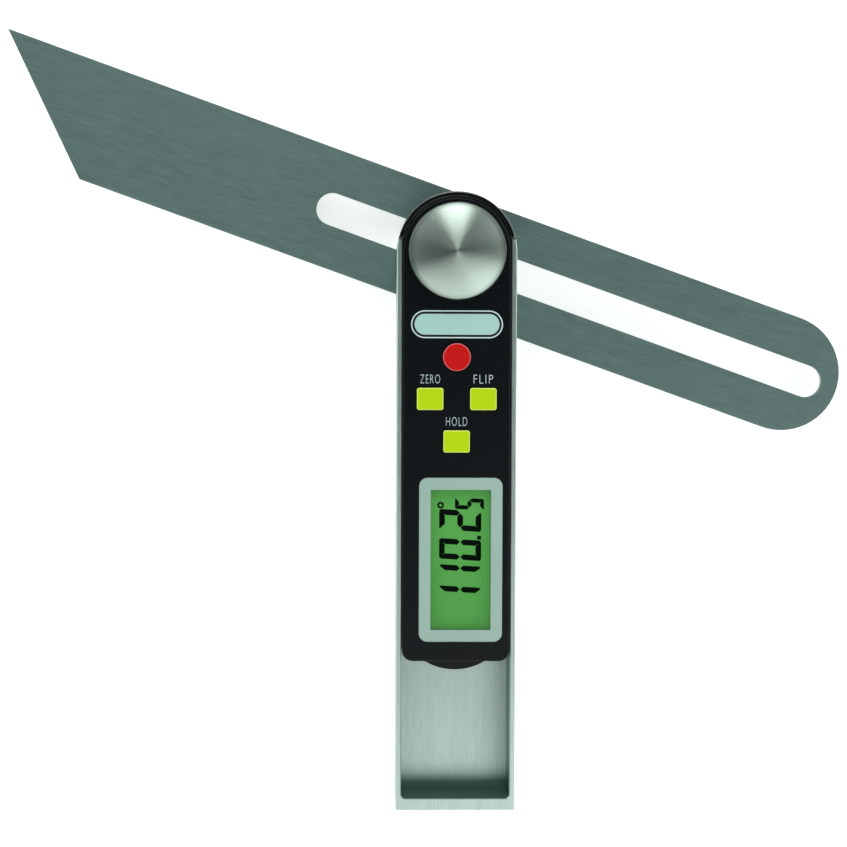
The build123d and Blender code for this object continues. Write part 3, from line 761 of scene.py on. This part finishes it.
class BEVEL_OT_buttons(bpy.types.Operator):
    """Give the power button and the keys their silicone"""

    bl_idname = "bevel.buttons"
    bl_label = "Buttons"

    def execute(self, context):
        colours = context.scene.bevel_colours
        # the second colour of each key is its painted rim highlight
        red = silicone_key("button_red_silicone", tuple(colours.power_red), linear("E07078"))
        lime = silicone_key("key_lime_silicone", tuple(colours.key_lime), linear("E4F27C"))
        finish_with(red, "power_button")
        finish_with(lime, "zero_key", "flip_key", "hold_key")
        return {"FINISHED"}


class BEVEL_OT_legends(bpy.types.Operator):
    """Print the words ZERO, FLIP and HOLD over the keys"""

    bl_idname = "bevel.legends"
    bl_label = "Key legends"

    def execute(self, context):
        sizes, colours = context.scene.bevel_sizes, context.scene.bevel_colours
        ink = printed_ink("legend_pad_print", tuple(colours.legend_ink))
        surface = top_of("front_cover")
        capital_share, thinning, spacing = 0.73, 0.055 * MM, 1.2
        for word, key, width in (
            ("ZERO", "zero_key", 4.35 * MM), ("FLIP", "flip_key", 4.25 * MM),
            ("HOLD", "hold_key", 4.65 * MM),
        ):
            text = bpy.data.curves.new(word.lower() + "_legend", "FONT")
            text.body = word
            text.size = sizes.legend_height / capital_share
            text.extrude = sizes.ink_thick / 2
            text.offset = -thinning
            text.space_character = spacing
            text.resolution_u = 4
            loose = bpy.data.objects.new(text.name, text)
            mesh = bpy.data.meshes.new_from_object(loose)
            bpy.data.objects.remove(loose)
            across = [vertex.co.x for vertex in mesh.vertices]
            narrow = Matrix.Diagonal((width / (max(across) - min(across)), 1, 1, 1))
            centred = Matrix.Translation((-(max(across) + min(across)) / 2, 0, 0))
            place = Matrix.Translation(
                (middle(key).x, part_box(key)[1][1] + sizes.legend_gap, surface + sizes.ink_thick / 2)
            )
            mesh.transform(place @ narrow @ centred)
            piece(text.name, mesh, ink, "handle")
        return {"FINISHED"}


SEGMENTS = {"0": "abcdef", "1": "bc", "2": "abged", "5": "afgcd"}


def segment_outline(letter, width, height, stroke, gap):
    """Points of one display segment in a digit's own axes: across to the right and up."""
    half, edge, mid = stroke / 2, gap / 2, height / 2
    cut = 0.25 * stroke
    bar = [
        (cut + edge, height), (width - cut - edge, height), (width - cut - edge, height - cut),
        (width - stroke - edge, height - stroke), (stroke + edge, height - stroke),
        (cut + edge, height - cut),
    ]
    side = [
        (width - cut, height - edge), (width, height - cut - edge), (width, mid + half + edge),
        (width - half, mid + edge), (width - stroke, mid + half + edge),
        (width - stroke, height - stroke - edge),
    ]
    waist = [
        (half + edge, mid), (stroke + edge, mid + half), (width - stroke - edge, mid + half),
        (width - half - edge, mid), (width - stroke - edge, mid - half), (stroke + edge, mid - half),
    ]
    shape, turned, upended = {
        "a": (bar, False, False), "d": (bar, False, True), "g": (waist, False, False),
        "b": (side, False, False), "c": (side, False, True),
        "f": (side, True, False), "e": (side, True, True),
    }[letter]
    return [(width - x if turned else x, height - y if upended else y) for x, y in shape]


class BEVEL_OT_display(bpy.types.Operator):
    """Build the display: lit ground, dark digits, clear window"""

    bl_idname = "bevel.display"
    bl_label = "Display"

    def execute(self, context):
        sizes, colours = context.scene.bevel_sizes, context.scene.bevel_colours
        finish_with(lit_display("display_lit_glass", tuple(colours.display_green)), "lcd_panel")
        finish_with(clear_acrylic("window_cast_acrylic"), "lcd_window")
        ground = top_of("lcd_panel")
        centre = middle("lcd_window")
        ink = printed_ink("display_dark_segments", tuple(colours.display_ink), roughness=0.4, ior=1.1)
        large = sizes.digit_width, sizes.digit_height, sizes.segment_width
        small_shares = 0.56, 0.69, 0.72
        small = tuple(size * share for size, share in zip(large, small_shares))
        base_line = centre.x + 4.6 * MM
        small_line = centre.x + 5.2 * MM
        # each digit: what it reads, its size, its right side in mm from the window's middle, its base line
        digits = (
            ("1", large, -6.1, base_line), ("1", large, -1.4, base_line), ("0", large, 4.4, base_line),
            ("2", large, 10.85, base_line), ("5", small, 13.6, small_line),
        )
        lean = math.tan(sizes.digit_slant)
        bm = bmesh.new()

        def on_glass(point, right_side, width, line):
            across, up = point
            leaning = (up - sizes.digit_height / 2) * lean
            return line - up, centre.y + right_side * MM - width + across + leaning

        for text, (width, height, stroke), right_side, line in digits:
            for letter in SEGMENTS[text]:
                outline = segment_outline(letter, width, height, stroke, sizes.segment_gap)
                flat = [on_glass(point, right_side, width, line) for point in outline]
                add_prism(bm, flat, ground, ground + sizes.ink_thick)
        point_at = Vector((base_line - 0.45 * MM, centre.y + 4.75 * MM))
        dot = 0.42 * MM
        add_prism(bm, [(point_at.x + dx * dot, point_at.y + dy * dot)
                       for dx, dy in ((-1, -1), (1, -1), (1, 1), (-1, 1))], ground, ground + sizes.ink_thick)
        degree_at = Vector((centre.x - 4.4 * MM, centre.y + 11.95 * MM))
        ring, hole = 1.5 * MM, 0.65 * MM
        add_prism(
            bm, pill(degree_at, ring, ring), ground, ground + sizes.ink_thick, [pill(degree_at, hole, hole)]
        )
        piece("display_digits", mesh_from(bm, "display_digits"), ink, "handle")
        return {"FINISHED"}


class BEVEL_OT_electronics(bpy.types.Operator):
    """Give the board, encoder, display feed and switches their finishes"""

    bl_idname = "bevel.electronics"
    bl_label = "Electronics"

    def execute(self, context):
        colours = context.scene.bevel_colours
        resist = solder_resist("board_solder_resist", tuple(colours.board_green), tuple(colours.brass_yellow))
        finish_with(resist, "circuit_board", "encoder_stator", "encoder_rotor")
        finish_with(moulded_plastic("chip_epoxy", linear("1A1A1A"), roughness=0.55), "processor_chip")
        self.add_plates(context.scene)
        can = plated_metal("can_nickel_plate", linear("C4C6C8"), roughness=0.25)
        finish_with(can, "crystal", "dome_switches")
        finish_with(striped_rubber("connector_striped_silicone"), "lcd_connector")
        guide = moulded_plastic("light_guide_frosted_acrylic", linear("A8D8A0"), roughness=0.5)
        finish_with(guide, "backlight")
        return {"FINISHED"}

    def add_plates(self, scene):
        """The encoder's copper pads on both of its halves, and the processor's leads."""
        sizes = scene.bevel_sizes
        gilt = plated_metal("pad_gold_flash", tuple(scene.bevel_colours.brass_yellow), roughness=0.3)
        tinned = plated_metal("lead_tinned_copper", linear("BFC2C4"), roughness=0.3)
        tree = pad_ring_tree()
        chip_low, chip_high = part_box("processor_chip")
        chip = middle("processor_chip")
        half = (chip_high[0] - chip_low[0]) / 2
        lead_length, lead_thick = 0.7 * MM, 0.2 * MM
        pad = (3.8 * MM, 0.75 * MM, sizes.pad_thick)
        pad_radius, pads, sides, leads_per_side = 6.6 * MM, 32, 4, 11
        rotor_face = top_of("encoder_rotor") + sizes.pad_thick / 2
        stator_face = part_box("encoder_stator")[0][2] - sizes.pad_thick / 2
        lead_face = chip_high[2] - lead_thick / 2
        for name, centre, radius, places, row, plate, finish, body, node_slot in (
            ("rotor_pads", (0, 0, rotor_face), pad_radius, pads, 1, pad, gilt, "hub", "board_laminate"),
            ("stator_pads", (0, 0, stator_face), pad_radius, pads, 1, pad, gilt, "handle", "board_laminate"),
            ("processor_leads", (chip.x, chip.y, lead_face), half + lead_length / 2, sides, leads_per_side,
             (lead_length, sizes.lead_width, lead_thick), tinned, "handle", "can_nickel"),
        ):
            mesh = grown(bpy.data.meshes.new(name), tree, {
                "Centre": centre, "Radius": radius, "Places": places, "Row": row, "Pitch": sizes.lead_pitch,
                "Plate": plate, "Finish": finish,
            })
            piece(name, mesh, None, body)


class BEVEL_OT_battery(bpy.types.Operator):
    """Give the battery tray, the coin cell and the contacts their finishes"""

    bl_idname = "bevel.battery"
    bl_label = "Battery"

    def execute(self, context):
        colours = context.scene.bevel_colours
        tray = moulded_plastic("tray_matt_abs", linear("06090B"), roughness=0.45, ior=1.35)
        cell = plated_metal("cell_pressed_nickel", linear("84888B"), roughness=0.4)
        strip = plated_metal("contact_brass_strip", tuple(colours.brass_yellow), roughness=0.3)
        finish_with(tray, "battery_tray")
        finish_with(cell, "coin_cell")
        finish_with(strip, "battery_contacts")
        return {"FINISHED"}


class BEVEL_OT_clamp(bpy.types.Operator):
    """Give the stud, hub, washers, sleeve and screws their metals"""

    bl_idname = "bevel.clamp"
    bl_label = "Clamp and fasteners"

    def execute(self, context):
        colours = context.scene.bevel_colours
        steel = plated_metal("fastener_zinc_steel", linear("B4B9BB"), roughness=0.3)
        finish_with(
            steel, "foot_screws", "module_screws", "board_screws", "clamp_stud", "friction_washer",
            "spring_washer", "clamp_sleeve",
        )
        brass = plated_metal("hub_turned_brass", tuple(colours.brass_yellow), roughness=0.28)
        finish_with(brass, "slot_hub")
        return {"FINISHED"}


# ---------------------------------------------------------------- stage

class BEVEL_OT_stage(bpy.types.Operator):
    """Set the floor, the soft lights and the camera"""

    bl_idname = "bevel.stage"
    bl_label = "Stage"

    def execute(self, context):
        scene = context.scene
        scene.view_settings.view_transform = "Standard"
        self.add_floor(scene)
        self.add_world(scene)
        self.add_lights(scene)
        self.add_camera(scene)
        return {"FINISHED"}

    def add_floor(self, scene):
        """A pale opal table, lit softly from below, flat under the tool."""
        bm = bmesh.new()
        half_side, below = 3.0, 0.0002
        bmesh.ops.create_grid(bm, x_segments=1, y_segments=1, size=half_side)
        bmesh.ops.translate(bm, verts=bm.verts, vec=(0, 0, CAD_BOX[0][2] - below))
        floor = bpy.data.objects.new("floor", mesh_from(bm, "floor"))
        scene.collection.objects.link(floor)
        material, tree, place = new_material("floor_opal")
        fibre = add(tree, "ShaderNodeTexNoise", {"Vector": place, "Scale": 400.0, "Detail": 3.0})
        base = tuple(scene.bevel_colours.floor_pale)
        tint = shade_of(tree, fibre.outputs[0], scaled(base, 0.99), scaled(base, 1.0))
        close(tree, add(tree, "ShaderNodeBsdfPrincipled", {
            "Base Color": tint, "Roughness": 0.9, "Emission Color": base, "Emission Strength": 0.55,
        }))
        floor.data.materials.append(material)

    def add_world(self, scene):
        """A white surround that darkens overhead, so that black plastic seen from above stays black."""
        world = bpy.data.worlds.new("studio")
        scene.world = world
        world.use_nodes = True
        tree = world.node_tree
        tree.nodes.clear()
        towards = add(tree, "ShaderNodeTexCoord").outputs["Generated"]
        up = add(tree, "ShaderNodeSeparateXYZ", {"Vector": towards}).outputs["Z"]
        overhead = add(tree, "ShaderNodeMapRange", {
            "Value": up, "From Min": 0.55, "From Max": 0.98,
        }, interpolation_type="SMOOTHSTEP")
        tint = shade_of(tree, overhead.outputs[0], linear("F6FAFC"), linear("343A38"))
        sky = add(tree, "ShaderNodeBackground", {"Color": tint, "Strength": 0.9})
        add(tree, "ShaderNodeOutputWorld", {"Surface": sky.outputs[0]})

    def add_lights(self, scene):
        """Soft boxes: name, place, point lit, size, power."""
        for name, place, aim, size, power in (
            ("foot_softbox", (0.05, -0.82, 1.37), (0, -0.05, 0), (2.8, 1.15), 11.0),
            ("right_softbox", (0.55, -0.36, 1.45), (0, 0, 0), (0.7, 0.6), 0.9),
            ("head_softbox", (0.02, 1.0, 1.25), (0, 0, 0), (0.6, 1.1), 5.6),
            ("left_strip", (-1.0, 0.9, 0.75), (0, 0, 0), (0.9, 0.2), 3.6),
            ("right_strip", (1.1, 0.7, 0.75), (0, 0, 0), (0.9, 0.2), 3.6),
        ):
            lamp = bpy.data.lights.new(name, "AREA")
            lamp.shape = "RECTANGLE"
            lamp.size, lamp.size_y = size
            lamp.energy = power
            obj = bpy.data.objects.new(name, lamp)
            obj.location = place
            obj.rotation_euler = (Vector(aim) - Vector(place)).to_track_quat("-Z", "Y").to_euler()
            scene.collection.objects.link(obj)

    def add_camera(self, scene):
        """Nearly square on to the front face, from half a metre."""
        place = Vector((-18.95, -17.98, 509.8)) * MM
        aim = Vector((-7.28, -37.83, 20.0)) * MM
        roll = math.radians(0.208)
        data = bpy.data.cameras.new("camera")
        data.lens = 94.71
        data.sensor_width = 36.0
        data.clip_start = 0.01
        camera = bpy.data.objects.new("camera", data)
        back = (place - aim).normalized()
        right = HANDLE_AXIS.cross(back).normalized()
        turn = Matrix((right, back.cross(right), back)).transposed() @ Matrix.Rotation(roll, 3, "Z")
        camera.matrix_world = Matrix.Translation(place) @ turn.to_4x4()
        scene.collection.objects.link(camera)
        scene.camera = camera


OPERATORS = (
    BEVEL_OT_stage, BEVEL_OT_blade, BEVEL_OT_handle, BEVEL_OT_knob, BEVEL_OT_module, BEVEL_OT_badge,
    BEVEL_OT_buttons, BEVEL_OT_legends, BEVEL_OT_display, BEVEL_OT_electronics, BEVEL_OT_battery,
    BEVEL_OT_clamp,
)


class BEVEL_PT_panel(bpy.types.Panel):
    """Lists the pieces, their sizes and their colours"""

    bl_idname = "BEVEL_PT_panel"
    bl_label = "Digital Sliding Bevel"
    bl_space_type = "VIEW_3D"
    bl_region_type = "UI"
    bl_category = "Bevel"

    def draw(self, context):
        for operator in OPERATORS:
            self.layout.operator(operator.bl_idname)
        for group in (context.scene.bevel_sizes, context.scene.bevel_colours):
            for name in group.bl_rna.properties.keys():
                if name not in ("rna_type", "name"):
                    self.layout.prop(group, name)


CLASSES = (BevelSizes, BevelColours, *OPERATORS, BEVEL_PT_panel)


def register():
    """Register the classes and hang the two property groups on the scene."""
    for item in CLASSES:
        bpy.utils.register_class(item)
    bpy.types.Scene.bevel_sizes = bpy.props.PointerProperty(type=BevelSizes)
    bpy.types.Scene.bevel_colours = bpy.props.PointerProperty(type=BevelColours)


def unregister():
    """Undo register."""
    del bpy.types.Scene.bevel_colours
    del bpy.types.Scene.bevel_sizes
    for item in reversed(CLASSES):
        bpy.utils.unregister_class(item)


def main():
    """Build everything in order."""
    register()
    for operator in OPERATORS:
        group, name = operator.bl_idname.split(".")
        getattr(getattr(bpy.ops, group), name)()


if __name__ == "__main__":
    main()
